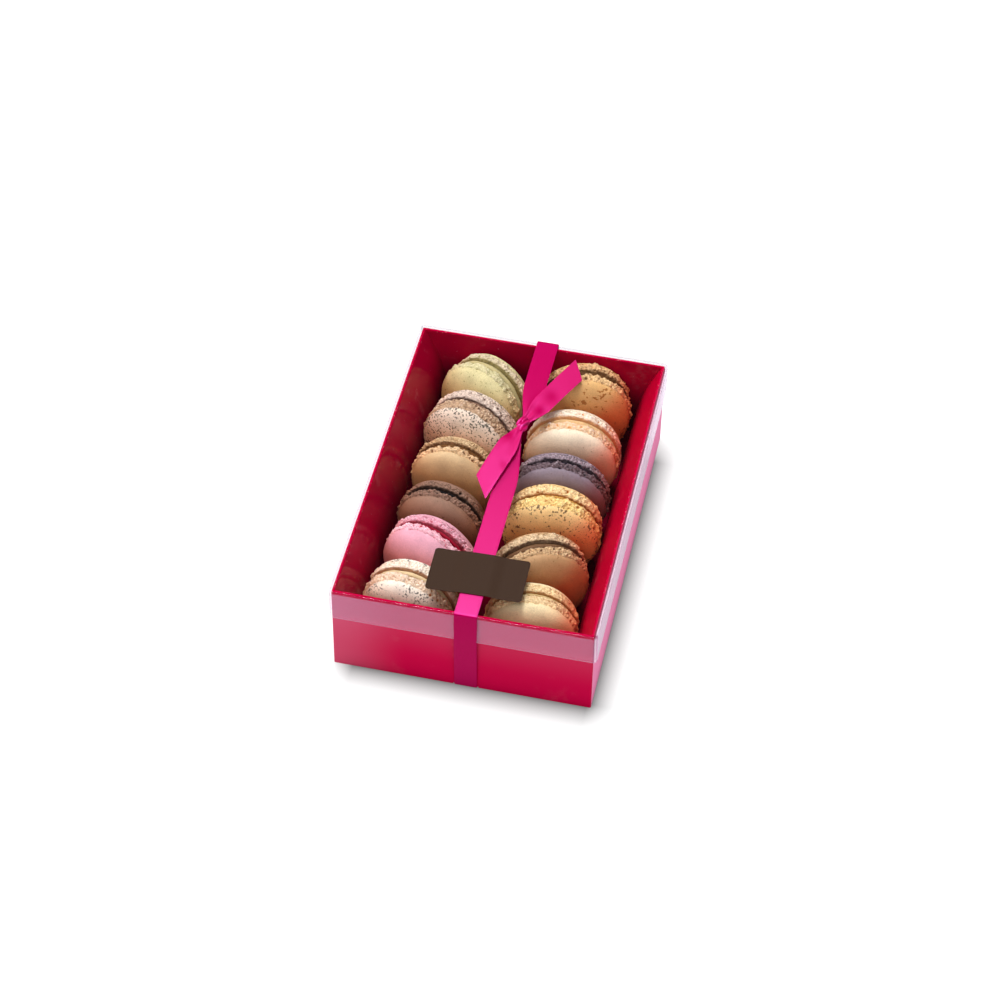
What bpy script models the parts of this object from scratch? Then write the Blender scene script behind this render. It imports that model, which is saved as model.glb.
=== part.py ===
"""Gift box of macarons: a red card tray holding two rows of macarons on edge, closed by a clear film lid
and tied lengthwise with a satin ribbon that carries a small dark label.

Metres, +Z up. The origin is the middle of the tray's underside. +Y runs along the box to its far end and +X
to the right. Each macaron faces the near end and is two almond shells with a filling between them.
"""

import math
import random
from collections import namedtuple

import bmesh
import bpy
from mathutils import Matrix, Vector

MM = 0.001

# Driving dimensions of the box
TRAY_WIDTH = 116 * MM
TRAY_LENGTH = 170 * MM
TRAY_HEIGHT = 47.5 * MM
RIM = 1.2 * MM
FLOOR = 2.3 * MM
TRAY_CORNER = 0.7 * MM
CAVITY_DEPTH = TRAY_HEIGHT - FLOOR
GAP = 0.3 * MM

# The long walls are folded double, and their inner panels bow inwards to hold the two rows. Each pair is how
# far in from the rim a panel's foot stands, at the near end and at the far end.
LEFT_PANEL_FOOT = (9.0 * MM, 11.8 * MM)
RIGHT_PANEL_FOOT = (11.4 * MM, 12.2 * MM)
PANEL_LEVELS = 6

LID_PLAY = 0.9 * MM
FILM = 0.4 * MM
LID_SKIRT = 16.6 * MM
LID_EDGE = 0.5 * MM
LID_INSIDE_TOP = TRAY_HEIGHT + GAP
LID_TOP = LID_INSIDE_TOP + FILM
LID_HALF_LENGTH = TRAY_LENGTH / 2 + LID_PLAY + FILM
CORNER_STEPS = 4

# Driving dimensions of the ribbon and the label
RIBBON_WIDTH = 10.2 * MM
RIBBON_THICK = 0.35 * MM
RIBBON_X = 1.9 * MM
RIBBON_TURN = 0.5 * MM
RIBBON_COLUMNS = 4
UNDERSIDE_CLEAR = 0.05 * MM
KNOT_Y = 29.5 * MM
KNOT_SIZE = Vector((5.4, 9.5, 4.4)) * MM
KNOT_WAIST = 3.4 * MM
KNOT_GATHER = 18 * MM
KNOT_WRAP = 0.16
KNOT_RINGS = 9
KNOT_SIDES = 12
GATHER_RUN = 23 * MM
GATHER_RINGS = 14
PLEAT = 0.35 * MM
TAIL_RINGS = 10
TAIL_ROOT_HEIGHT = 2.2 * MM
FAR_TAIL_TIP = Vector((19.6, 71.2, 49.6)) * MM
FAR_TAIL_SLANT = 9.4 * MM
FAR_TAIL_RISE = 0.9 * MM
NEAR_TAIL_TIP = Vector((-8.2, -12.0, 49.8)) * MM
NEAR_TAIL_SLANT = 11.4 * MM
NEAR_TAIL_RISE = 1.1 * MM

LABEL_WIDTH = 42.3 * MM
LABEL_LENGTH = 24 * MM
LABEL_THICK = 0.3 * MM
LABEL_CORNER = 1.5 * MM
LABEL_CENTRE = (2.0 * MM, -62.5 * MM)
LABEL_TURN = math.radians(1.5)
LABEL_SLOPE = 2.5 * MM
LABEL_STEPS = 5

# Driving dimensions shared by the macarons
SIDES = 26
FILLING_SIDES = 16
RUFFLE = 0.32 * MM
RUFFLE_WAVES = (4, 7, 11, 13)
FILLING_SET_BACK = 1.3 * MM
DOME_POWER = 2.3
DOME_TILTS = (12, 32, 55, 76)
DOME_SET_BACK = 0.6 * MM

# Rings up a foot: share of its height, set back from its widest, share of the ruffle
FOOT_RINGS = ((0.0, 0.4 * MM, 1.0), (0.3, 0.0, 1.0), (0.75, 0.1 * MM, 1.0), (1.0, 0.9 * MM, 0.4))

# Rings up a filling's edge: height and set back, both as shares of its thickness
FILLING_RINGS = ((-0.5, 0.5), (-0.2, 0.0), (0.2, 0.0), (0.5, 0.5))

# One row for each macaron, in millimetres and degrees. x and y are its middle, across its diameter, foot the
# height of each shell's frilled edge, filling the space between the shells, and dome and back the heights of
# the smooth front and back tops. turn swings its face to the right, lean tips it back. Number 1 is at the far
# end.
Macaron = namedtuple("Macaron", "place x y across foot filling dome back turn lean shell cream")
MACARONS = (
    Macaron("left_1", -23.0, 66.8, 43.6, 4.4, 3.6, 7.2, 5.0, -25, 7, "#D9D09A", "#8E7A2C"),
    Macaron("left_2", -24.0, 40.7, 44.8, 5.8, 1.6, 5.8, 4.2, -15, 5, "#C9A98F", "#5A3B2A"),
    Macaron("left_3", -26.5, 16.4, 39.8, 4.0, 2.4, 6.2, 4.5, -5, 6, "#C29A63", "#8A6234"),
    Macaron("left_4", -26.0, -11.3, 40.6, 3.3, 1.8, 8.0, 5.8, -8, 0, "#8A6553", "#17110F"),
    Macaron("left_5", -24.6, -38.2, 44.2, 4.3, 1.8, 7.8, 5.6, -18, 3, "#EFA9BE", "#A3082E"),
    Macaron("left_6", -27.6, -63.8, 42.4, 4.8, 2.8, 6.8, 4.9, -9, 0, "#EFE6DA", "#D9A24A"),
    Macaron("right_1", 22.4, 71.4, 44.8, 5.0, 2.4, 7.2, 2.8, 12, 6, "#B98A55", "#6E4A27"),
    Macaron("right_2", 23.5, 41.6, 44.6, 4.5, 3.2, 6.6, 4.8, 1, 1, "#F0DCC3", "#D9993C"),
    Macaron("right_3", 23.1, 14.5, 45.2, 3.7, 1.5, 5.8, 4.0, 2, 0, "#8F8490", "#2B2430"),
    Macaron("right_4", 23.8, -6.7, 44.8, 5.2, 1.5, 5.8, 4.2, 3, 0, "#DCAE63", "#B9791F"),
    Macaron("right_5", 24.1, -36.8, 43.6, 4.7, 3.5, 6.2, 4.5, 21, 3, "#B08A66", "#4B3223"),
    Macaron("right_6", 26.1, -64.1, 41.8, 4.5, 1.8, 7.6, 5.5, 7, 3, "#F0DDB4", "#D0A03C"),
)


def clear_scene():
    for obj in list(bpy.data.objects):
        bpy.data.objects.remove(obj)


def linear(hex_colour):
    """sRGB hex to the linear colour that Blender's shaders take."""
    parts = [int(hex_colour[i : i + 2], 16) / 255 for i in (1, 3, 5)]
    return [c / 12.92 if c <= 0.04045 else ((c + 0.055) / 1.055) ** 2.4 for c in parts] + [1.0]


def material(name, hex_colour, roughness, alpha=1.0):
    made = bpy.data.materials.new(name)
    made.use_nodes = True
    shader = made.node_tree.nodes["Principled BSDF"]
    shader.inputs["Base Color"].default_value = linear(hex_colour)
    shader.inputs["Roughness"].default_value = roughness
    shader.inputs["Metallic"].default_value = 0.0
    shader.inputs["Alpha"].default_value = alpha
    return made


def add_object(name, mesh, finish=None):
    obj = bpy.data.objects.new(name, mesh)
    bpy.context.scene.collection.objects.link(obj)
    if finish:
        mesh.materials.append(finish)
    return obj


def loft(name, rings, joined_ends=False):
    """A closed skin through rings of points. Its ends are capped, or joined to each other in a loop."""
    body = bmesh.new()
    loops = [[body.verts.new(point) for point in ring] for ring in rings]
    followers = loops[1:] + loops[:1] if joined_ends else loops[1:]
    for ring, follower in zip(loops, followers):
        for i in range(len(ring)):
            body.faces.new((ring[i - 1], ring[i], follower[i], follower[i - 1]))
    if not joined_ends:
        body.faces.new(loops[0])
        body.faces.new(loops[-1])
    bmesh.ops.recalc_face_normals(body, faces=body.faces)
    mesh = bpy.data.meshes.new(name)
    body.to_mesh(mesh)
    body.free()
    return mesh


def smooth(mesh, sharp_degrees=35):
    mesh.shade_smooth()
    mesh.set_sharp_from_angle(angle=math.radians(sharp_degrees))


def ease(share):
    """0 to 1 with a soft start and end."""
    share = min(max(share, 0.0), 1.0)
    return share * share * (3 - 2 * share)


def circle(sides, radius, z):
    angles = [2 * math.pi * side / sides for side in range(sides)]
    return [Vector((radius * math.cos(angle), radius * math.sin(angle), z)) for angle in angles]


def rounded_rectangle(width, length, radius, z):
    """Outline seen from above, with an arc at each corner."""
    points = []
    for quarter, (x, y) in enumerate(((1, 1), (-1, 1), (-1, -1), (1, -1))):
        middle = Vector((x * (width / 2 - radius), y * (length / 2 - radius), z))
        for step in range(CORNER_STEPS + 1):
            angle = (quarter + step / CORNER_STEPS) * math.pi / 2
            points.append(middle + radius * Vector((math.cos(angle), math.sin(angle), 0)))
    return points


def box_outline(grown, z):
    """The tray's outline moved outwards by grown, or inwards where that is negative."""
    radius = max(TRAY_CORNER + grown, 0.2 * MM)
    return rounded_rectangle(TRAY_WIDTH + 2 * grown, TRAY_LENGTH + 2 * grown, radius, z)


def panel_reach(x, y, depth):
    """How far in from the rim the inner panel on the side of x stands, at a depth below the rim."""
    near, far = LEFT_PANEL_FOOT if x < 0 else RIGHT_PANEL_FOOT
    foot = near + (far - near) * (y / TRAY_LENGTH + 0.5)
    return foot * (1 - (1 - depth / CAVITY_DEPTH) ** 2)


def cavity_outline(depth):
    """The tray's inside at a depth below its rim."""
    outline = box_outline(-RIM, TRAY_HEIGHT - depth)
    for point in outline:
        point.x -= math.copysign(panel_reach(point.x, point.y, depth), point.x)
    return outline


def make_tray():
    """Open card box with bowed side panels, and a shallow press across its underside where the ribbon runs."""
    rings = [box_outline(0, 0), box_outline(0, TRAY_HEIGHT)]
    rings += [cavity_outline(CAVITY_DEPTH * level / PANEL_LEVELS) for level in range(PANEL_LEVELS + 1)]
    tray = add_object("tray", loft("tray", rings), material("coated red card", "#BE0A3C", 0.28))
    press_depth = UNDERSIDE_CLEAR + RIBBON_THICK + GAP
    press = bpy.data.objects.new("ribbon_press", bpy.data.meshes.new("ribbon_press"))
    shape = bmesh.new()
    size = Matrix.Diagonal((RIBBON_WIDTH + 4 * GAP, TRAY_LENGTH * 1.1, 2 * press_depth, 1))
    bmesh.ops.create_cube(shape, size=1, matrix=Matrix.Translation((RIBBON_X, 0, 0)) @ size)
    shape.to_mesh(press.data)
    shape.free()
    press.hide_render = True
    press.display_type = "WIRE"
    bpy.context.scene.collection.objects.link(press)
    cut = tray.modifiers.new("ribbon press", "BOOLEAN")
    cut.operation = "DIFFERENCE"
    cut.object = press
    return tray


def make_lid():
    """Clear film lid: a flat top and a skirt that slips down over the tray's walls."""
    skirt_end = LID_TOP - LID_SKIRT
    outside = LID_PLAY + FILM
    rings = [
        box_outline(LID_PLAY - LID_EDGE, LID_INSIDE_TOP),
        box_outline(LID_PLAY, LID_INSIDE_TOP - LID_EDGE),
        box_outline(LID_PLAY, skirt_end),
        box_outline(outside, skirt_end),
        box_outline(outside, LID_TOP - LID_EDGE),
        box_outline(outside - LID_EDGE, LID_TOP),
    ]
    return add_object("lid", loft("lid", rings), material("clear film", "#F4ECEE", 0.06, alpha=0.2))


def band_ring(middle, across, outward, width, pleat, skew=Vector()):
    """One cross-section of ribbon: up one face and back along the other, waved by pleat."""
    faces = []
    for side in (1, -1):
        columns = range(RIBBON_COLUMNS + 1)
        for column in columns if side > 0 else reversed(columns):
            share = column / RIBBON_COLUMNS - 0.5
            lift = side * RIBBON_THICK / 2 + pleat * math.cos(4 * math.pi * share)
            faces.append(middle + across * width * share + outward * lift + skew * share)
    return faces


def gathered_width(distance):
    """Ribbon width at a distance along it from the knot."""
    return KNOT_WAIST + (RIBBON_WIDTH - KNOT_WAIST) * ease(abs(distance) / KNOT_GATHER)


def pleat_depth(distance):
    return PLEAT * (1 - ease(abs(distance) / GATHER_RUN))


def loop_stations():
    """Middle line of the tied loop, seen from the side: (y, z, outward angle) all the way round."""
    half_thick = RIBBON_THICK / 2
    top = LID_TOP + GAP + half_thick
    far = LID_HALF_LENGTH + GAP + half_thick
    low = UNDERSIDE_CLEAR + half_thick
    far_low = TRAY_LENGTH / 2 + GAP + half_thick
    corners = ((far, top, 0), (-far, top, 90), (-far_low, low, 180), (far_low, low, 270))
    stations = []
    for y, z, start in corners:
        middle_y = y - math.copysign(RIBBON_TURN, y)
        middle_z = z - math.copysign(RIBBON_TURN, z - TRAY_HEIGHT / 2)
        for step in range(CORNER_STEPS + 1):
            angle = math.radians(start + 90 * step / CORNER_STEPS)
            y_on = middle_y + RIBBON_TURN * math.cos(angle)
            z_on = middle_z + RIBBON_TURN * math.sin(angle)
            stations.append((y_on, z_on, angle))
        if start == 0:
            run = [KNOT_Y + GATHER_RUN * (1 - 2 * step / GATHER_RINGS) for step in range(GATHER_RINGS + 1)]
            stations += [(y, top, math.pi / 2) for y in run]
        if start == 90:
            stations.append((-far, LID_TOP - LID_SKIRT, math.pi))
    stations.append((far, LID_TOP - LID_SKIRT, 0.0))
    return stations


def make_loop():
    """The ribbon's run over the lid, down both ends and under the tray, gathered at the knot."""
    rings = []
    for y, z, angle in loop_stations():
        on_top = z > LID_TOP and abs(math.sin(angle) - 1) < 0.01
        width = gathered_width(y - KNOT_Y) if on_top else RIBBON_WIDTH
        pleat = pleat_depth(y - KNOT_Y) if on_top else 0.0
        outward = Vector((0, math.cos(angle), math.sin(angle)))
        middle = Vector((RIBBON_X, y, z + pleat))
        rings.append(band_ring(middle, Vector((1, 0, 0)), outward, width, pleat))
    return add_object("ribbon", loft("ribbon", rings, joined_ends=True), material("pink satin", "#E5127E", 0.35))


def make_tail(name, tip, slant, rise):
    """A loose end from the knot to tip, arched by rise. Looking out from the knot, its left edge is longer."""
    root = Vector((RIBBON_X, KNOT_Y, LID_TOP + TAIL_ROOT_HEIGHT))
    flat_run = Vector((tip[0] - root.x, tip[1] - root.y, 0))
    along = flat_run.normalized()
    across = along.cross(Vector((0, 0, 1)))
    rings = []
    for step in range(TAIL_RINGS + 1):
        share = step / TAIL_RINGS
        distance = share * flat_run.length
        middle = root + along * distance
        middle.z += (tip[2] - root.z) * share + rise * math.sin(math.pi * share)
        width = gathered_width(distance)
        skew = along * -slant * share
        rings.append(band_ring(middle, across, Vector((0, 0, 1)), width, pleat_depth(distance), skew))
    return loft(name, rings)


def make_knot():
    """The single knot: a small bead with the turn of ribbon that crosses it."""
    middle = Vector((RIBBON_X, KNOT_Y, LID_TOP + GAP + KNOT_SIZE.z / 2))
    rings = []
    for step in range(KNOT_RINGS):
        share = (step + 0.5) / KNOT_RINGS * 2 - 1
        girth = math.sqrt(1 - share * share) * (1 - KNOT_WRAP * math.cos(3 * math.pi * share))
        ring = []
        for side in range(KNOT_SIDES):
            angle = 2 * math.pi * side / KNOT_SIDES
            x = math.cos(angle) * girth * KNOT_SIZE.x / 2
            z = math.sin(angle) * girth * KNOT_SIZE.z / 2 / (1 + KNOT_WRAP)
            ring.append(middle + Vector((x, share * KNOT_SIZE.y / 2, z)))
        rings.append(ring)
    return loft("knot", rings)


def make_ribbon():
    """Loop, knot and both loose ends as one tied piece."""
    ribbon = make_loop()
    tied = bpy.data.collections.new("tied on")
    bpy.context.scene.collection.children.link(tied)
    meshes = [
        make_tail("far_tail", FAR_TAIL_TIP, FAR_TAIL_SLANT, FAR_TAIL_RISE),
        make_tail("near_tail", NEAR_TAIL_TIP, NEAR_TAIL_SLANT, NEAR_TAIL_RISE),
        make_knot(),
    ]
    for mesh in meshes:
        tied.objects.link(bpy.data.objects.new(mesh.name, mesh))
    union = ribbon.modifiers.new("tie", "BOOLEAN")
    union.operation = "UNION"
    union.operand_type = "COLLECTION"
    union.collection = tied
    bpy.context.view_layer.update()
    evaluated = ribbon.evaluated_get(bpy.context.evaluated_depsgraph_get())
    joined = bpy.data.meshes.new_from_object(evaluated)
    ribbon.modifiers.clear()
    ribbon.data = joined
    for obj in list(tied.objects):
        bpy.data.objects.remove(obj)
    bpy.data.collections.remove(tied)
    smooth(joined)
    return ribbon


def label_lift(x):
    """Height of the label's underside above the lid, where it climbs over the ribbon."""
    beside = abs(x - RIBBON_X) - RIBBON_WIDTH / 2 - GAP
    return GAP + (RIBBON_THICK + GAP) * (1 - ease(beside / LABEL_SLOPE))


def label_half_length(x):
    """Half the label's length at x from its middle, less near the ends for its round corners."""
    into_corner = abs(x) - (LABEL_WIDTH / 2 - LABEL_CORNER)
    if into_corner <= 0:
        return LABEL_LENGTH / 2
    return LABEL_LENGTH / 2 - LABEL_CORNER + math.sqrt(LABEL_CORNER**2 - into_corner**2)


def make_label():
    """Dark card sticker laid over the ribbon near the front edge of the lid."""
    quarter = math.pi / 2 / LABEL_STEPS
    ends = [LABEL_CORNER * (1 - math.cos(quarter * (step + 0.3))) for step in range(LABEL_STEPS)]
    beside = [RIBBON_WIDTH / 2 + GAP + LABEL_SLOPE * step / LABEL_STEPS for step in range(LABEL_STEPS + 1)]
    places = [-LABEL_WIDTH / 2 + end for end in ends] + [LABEL_WIDTH / 2 - end for end in ends]
    places += [sign * side + RIBBON_X - LABEL_CENTRE[0] for side in beside for sign in (-1, 1)]
    turn = Matrix.Rotation(LABEL_TURN, 3, "Z")
    middle = Vector((LABEL_CENTRE[0], LABEL_CENTRE[1], LID_TOP))
    rings = []
    for x in sorted(places):
        half = label_half_length(x)
        low = label_lift(x + LABEL_CENTRE[0])
        corners = ((-half, low), (half, low), (half, low + LABEL_THICK), (-half, low + LABEL_THICK))
        rings.append([middle + turn @ Vector((x, y, z)) for y, z in corners])
    return add_object("label", loft("label", rings), material("dark brown card", "#41301F", 0.5))


def frill(waves, angle):
    """Uneven in-and-out of a foot, between -1 and 1."""
    total = sum(size * math.sin(count * angle + phase) for count, size, phase in waves)
    return total / sum(size for _, size, _ in waves)


def shell_rings(radius, foot, dome, draw):
    """Rings up one shell from its inner face: a frilled foot, a notch, then the smooth dome."""
    rings = []
    waves = [(count, draw.uniform(0.5, 1), draw.uniform(0, 2 * math.pi)) for count in RUFFLE_WAVES]
    for height, set_back, ruffled in FOOT_RINGS:
        waves = [(count, size, phase + draw.uniform(-0.7, 0.7)) for count, size, phase in waves]
        ring = []
        for side in range(SIDES):
            angle = 2 * math.pi * side / SIDES
            reach = radius - RUFFLE - set_back + RUFFLE * ruffled * frill(waves, angle)
            ring.append(Vector((reach * math.cos(angle), reach * math.sin(angle), height * foot)))
        rings.append(ring)
    for tilt in DOME_TILTS:
        reach = (radius - DOME_SET_BACK) * math.cos(math.radians(tilt)) ** (2 / DOME_POWER)
        height = foot + dome * math.sin(math.radians(tilt)) ** (2 / DOME_POWER)
        rings.append(circle(SIDES, reach, height))
    return rings


def filling_rings(radius, thick):
    """A flat round layer with a softly bulging edge."""
    rings = []
    for height, set_back in FILLING_RINGS:
        rings.append(circle(FILLING_SIDES, radius - set_back * thick, height * thick))
    return rings


def facing(turn, lean):
    """Rotation that takes a disc's own +Z to the way the macaron faces."""
    swing = Matrix.Rotation(math.radians(turn), 3, "Z")
    tip_back = Matrix.Rotation(math.radians(-lean), 3, "X")
    return swing @ tip_back @ Matrix.Rotation(math.radians(90), 3, "X")


def make_macaron(spec):
    """Front shell, filling and back shell, set down on the tray's floor."""
    draw = random.Random(spec.place)
    radius = spec.across / 2 * MM
    foot, gap = spec.foot * MM, spec.filling * MM
    almond = material("shell " + spec.place, spec.shell, 0.75)
    cream = material("filling " + spec.place, spec.cream, 0.5)
    half_turn = Matrix.Rotation(math.pi, 3, "X")
    front = shell_rings(radius, foot, spec.dome * MM, draw)
    back = shell_rings(radius, foot, spec.back * MM, draw)
    front = [[point + Vector((0, 0, gap / 2)) for point in ring] for ring in front]
    back = [[half_turn @ (point + Vector((0, 0, gap / 2))) for point in ring] for ring in back]
    middle = filling_rings(radius - FILLING_SET_BACK, gap - 2 * GAP)
    face = facing(spec.turn, spec.lean)
    lowest = min((face @ point).z for ring in front + back for point in ring)
    stand = Vector((spec.x * MM, spec.y * MM, FLOOR + GAP - lowest))
    pieces = (("front_shell", front, almond), ("filling", middle, cream), ("back_shell", back, almond))
    for part, rings, finish in pieces:
        name = f"macaron_{spec.place}_{part}"
        obj = add_object(name, loft(name, rings), finish)
        obj.matrix_world = Matrix.Translation(stand) @ face.to_4x4()
        smooth(obj.data)


def main():
    clear_scene()
    make_tray()
    for spec in MACARONS:
        make_macaron(spec)
    make_lid()
    make_ribbon()
    make_label()


main()
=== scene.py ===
"""Looks of the gift box of macarons: coated red card, clear film, satin ribbon, and twelve baked macarons.

Metres, +Z up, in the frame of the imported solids: the origin is the middle of the tray's underside, +Y runs
to the box's far end and +X to the right. Every piece is made where its solid stands and replaces it.
"""

import math
from collections import namedtuple

import bmesh
import bpy
import numpy as np
from mathutils import Matrix, Vector, noise


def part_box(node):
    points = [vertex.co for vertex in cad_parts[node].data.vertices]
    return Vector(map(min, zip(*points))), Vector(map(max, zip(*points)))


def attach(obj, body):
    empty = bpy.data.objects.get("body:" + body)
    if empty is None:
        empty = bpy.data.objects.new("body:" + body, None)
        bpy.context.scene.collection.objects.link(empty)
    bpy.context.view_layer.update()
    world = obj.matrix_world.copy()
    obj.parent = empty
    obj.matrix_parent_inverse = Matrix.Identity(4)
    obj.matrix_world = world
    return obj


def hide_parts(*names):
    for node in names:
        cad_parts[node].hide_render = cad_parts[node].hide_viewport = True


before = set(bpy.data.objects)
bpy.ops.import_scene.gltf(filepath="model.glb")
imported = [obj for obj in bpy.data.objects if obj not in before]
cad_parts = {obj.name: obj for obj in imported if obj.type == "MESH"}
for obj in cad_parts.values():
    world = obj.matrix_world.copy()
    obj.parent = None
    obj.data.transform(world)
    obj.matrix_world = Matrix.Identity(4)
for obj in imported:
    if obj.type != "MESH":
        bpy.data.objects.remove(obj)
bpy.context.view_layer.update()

MM = 0.001

# Settings that recur: a Mix node that blends colours, which it gives at its third output, and an eased ramp
COLOURS = {"out": 2, "data_type": "RGBA"}
SMOOTH = {"interpolation_type": "SMOOTHSTEP"}

# Box, as in the solids
TRAY_WIDTH = 116 * MM
TRAY_LENGTH = 170 * MM
TRAY_HEIGHT = 47.5 * MM
RIM = 1.2 * MM
FLOOR = 2.3 * MM
TRAY_CORNER = 0.7 * MM
WORN_EDGE = 0.5 * MM
WORN_THROUGH, WORN_FOOT, WORN_RIM = 1.15, 0.95, 0.78
# The band below the rim that takes the painted highlight along the fold reaches about this far down
BRIGHT_EDGE = 1.8 * MM
CAVITY_DEPTH = TRAY_HEIGHT - FLOOR
GAP = 0.3 * MM
# Painted shade down the inside of the card: how far below the rim it starts, and over what depth it grows
SHADE_START = 8 * MM
SHADE_RUN = 26 * MM
LID_PLAY = 0.9 * MM
FILM = 0.4 * MM
LID_SKIRT = 16.6 * MM
LID_FOLD = 0.5 * MM
LID_BORDER = 1.0 * MM
LID_INSIDE_TOP = TRAY_HEIGHT + GAP
LID_TOP = LID_INSIDE_TOP + FILM

# How far in the bowed inner side panels stand at the floor, at the near end and at the far end
LEFT_PANEL_FOOT = (9.0 * MM, 11.8 * MM)
RIGHT_PANEL_FOOT = (11.4 * MM, 12.2 * MM)

# How finely the card and the film are meshed
CORNER_STEPS = 6
CORNER_MARGIN = 2.0 * MM
RIM_STEPS = 8
PANEL_LEVELS = 28
FOLD_STEPS = 5
SKIRT_LEVELS = 8
VEIL_START = 0.6 * MM

# The lid sits a little skewed: its skirt is lifted and pushed out at the near right corner
SKIRT_LIFT = 1.5 * MM
SKIRT_PUSH = 1.0 * MM

# Ribbon, as in the solids
RIBBON_WIDTH = 10.2 * MM
RIBBON_THICK = 0.3 * MM
RIBBON_SOLID = 0.35 * MM
RIBBON_X = 1.9 * MM
RIBBON_TURN = 0.5 * MM
UNDERSIDE_CLEAR = 0.05 * MM
KNOT_Y = 29.5 * MM
KNOT_SIZE = Vector((6.0, 9.5, 4.6)) * MM
KNOT_WAIST = 2.6 * MM
KNOT_FOLD = 1.9 * MM
KNOT_CURL = 0.9 * MM
KNOT_SLEW = 0.9 * MM
KNOT_SLEW_RUN = 6 * MM
FAR_GATHER = 28 * MM
NEAR_GATHER = 38 * MM
TAIL_GATHER = 17 * MM
GATHER_RUN = 23 * MM
# Where the ribbon's painted highlight starts to grow towards the front, and over what run
FRONT_PAINTED_SHEEN = -60 * MM
FRONT_PAINTED_SHEEN_RUN = 25 * MM
# Where along a tail from the knot its painted highlight is brightest, and how far it spreads
FLASH = 4 * MM
PLEAT = 0.5 * MM
TAIL_ROOT_HEIGHT = 2.2 * MM
FAR_TAIL_TIP = Vector((19.6, 71.2, 49.6)) * MM
FAR_TAIL_SLANT = 9.4 * MM
FAR_TAIL_RISE = 0.9 * MM
NEAR_TAIL_TIP = Vector((-8.2, -12.0, 49.8)) * MM
NEAR_TAIL_SLANT = 11.4 * MM
NEAR_TAIL_RISE = 1.1 * MM
RIBBON_COLUMNS = 20
RIBBON_STEP = 1.5 * MM
TAIL_STEPS = 44

# Label, as in the solids
LABEL_WIDTH = 42.3 * MM
LABEL_LENGTH = 24 * MM
LABEL_THICK = 0.3 * MM
LABEL_CORNER = 1.5 * MM
LABEL_CENTRE = (2.0 * MM, -62.5 * MM)
LABEL_TURN = math.radians(1.5)
LABEL_SLOPE = 6 * MM
LABEL_EDGE = 0.06 * MM

# Baked shells
SEGMENTS = 340
BUNCHING = 0.4
FOOT_ROWS = 22
DOME_ROWS = 15
WANDER = 0.35 * MM
RUFFLE = 0.45 * MM
RUFFLE_RUN = 5.5 * MM
LUMP = 2.8 * MM
LUMP_RISE = 0.95 * MM
BUBBLE = 1.5 * MM
BUBBLE_RISE = 0.8 * MM
CREASE_DEPTH = 0.3 * MM
TORN_CELL = 2.6 * MM
TORN_DEPTH = 1.1 * MM
PIT_CELL = 1.1 * MM
PIT_DEPTH = 0.6 * MM
FILLING_SET_BACK = 1.3 * MM
DOME_POWER = 2.3
DOME_SET_BACK = 0.6 * MM
NOTCH_WANDER = 0.7 * MM
NOTCH_RUN = 1.9 * MM
EDGE_BAND = 2.4 * MM
# How much painted red bounce light the right row's shells take on their side towards the red card
PAINTED_RED_BOUNCE = 0.62
BOUNCE_START = 4 * MM
BOUNCE_RUN = 14 * MM
FILLING_SEGMENTS = 200
FIRST_SEED = 3
BACK_SEED = 50

# One row for each macaron. Shape in millimetres and degrees as in the solids: across its diameter, foot the
# height of each frilled edge, filling the space between the shells, dome and back the heights of the smooth
# tops, turn the swing of its face to the right, lean its tip back. crags scales how rough the foot is. gape
# is how much further than the mean each shell's inner edge stands off at the widest opening, towards angle.
Macaron = namedtuple("Macaron", "place across foot filling dome back turn lean crags gape angle")
MACARONS = (
    Macaron("left_1", 43.6, 4.4, 3.6, 7.2, 5.0, -25, 7, 0.9, 0.5, 60),
    Macaron("left_2", 44.8, 5.8, 1.6, 5.8, 4.2, -15, 5, 1.0, 0.1, 90),
    Macaron("left_3", 39.8, 4.0, 2.4, 6.2, 4.5, -5, 6, 1.5, 0.5, 140),
    Macaron("left_4", 40.6, 3.3, 1.8, 8.0, 5.8, -8, 0, 1.2, 0.5, 140),
    Macaron("left_5", 44.2, 4.3, 1.8, 7.8, 5.6, -18, 3, 1.2, 0.6, 60),
    Macaron("left_6", 42.4, 4.8, 2.8, 6.8, 4.9, -9, 0, 0.9, 0.2, 90),
    Macaron("right_1", 44.8, 5.0, 2.4, 7.2, 2.8, 12, 6, 1.3, 0.2, 60),
    Macaron("right_2", 44.6, 4.5, 3.2, 6.6, 4.8, 1, 1, 0.8, 0.4, 100),
    Macaron("right_3", 45.2, 3.7, 1.5, 5.8, 4.0, 2, 0, 1.3, 0.2, 90),
    Macaron("right_4", 44.8, 5.2, 1.5, 5.8, 4.2, 3, 0, 1.1, 0.1, 90),
    Macaron("right_5", 43.6, 4.7, 3.5, 6.2, 4.5, 21, 3, 1.1, 0.5, 120),
    Macaron("right_6", 41.8, 4.5, 1.8, 7.6, 5.5, 7, 3, 0.8, 0.1, 90),
)
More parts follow.
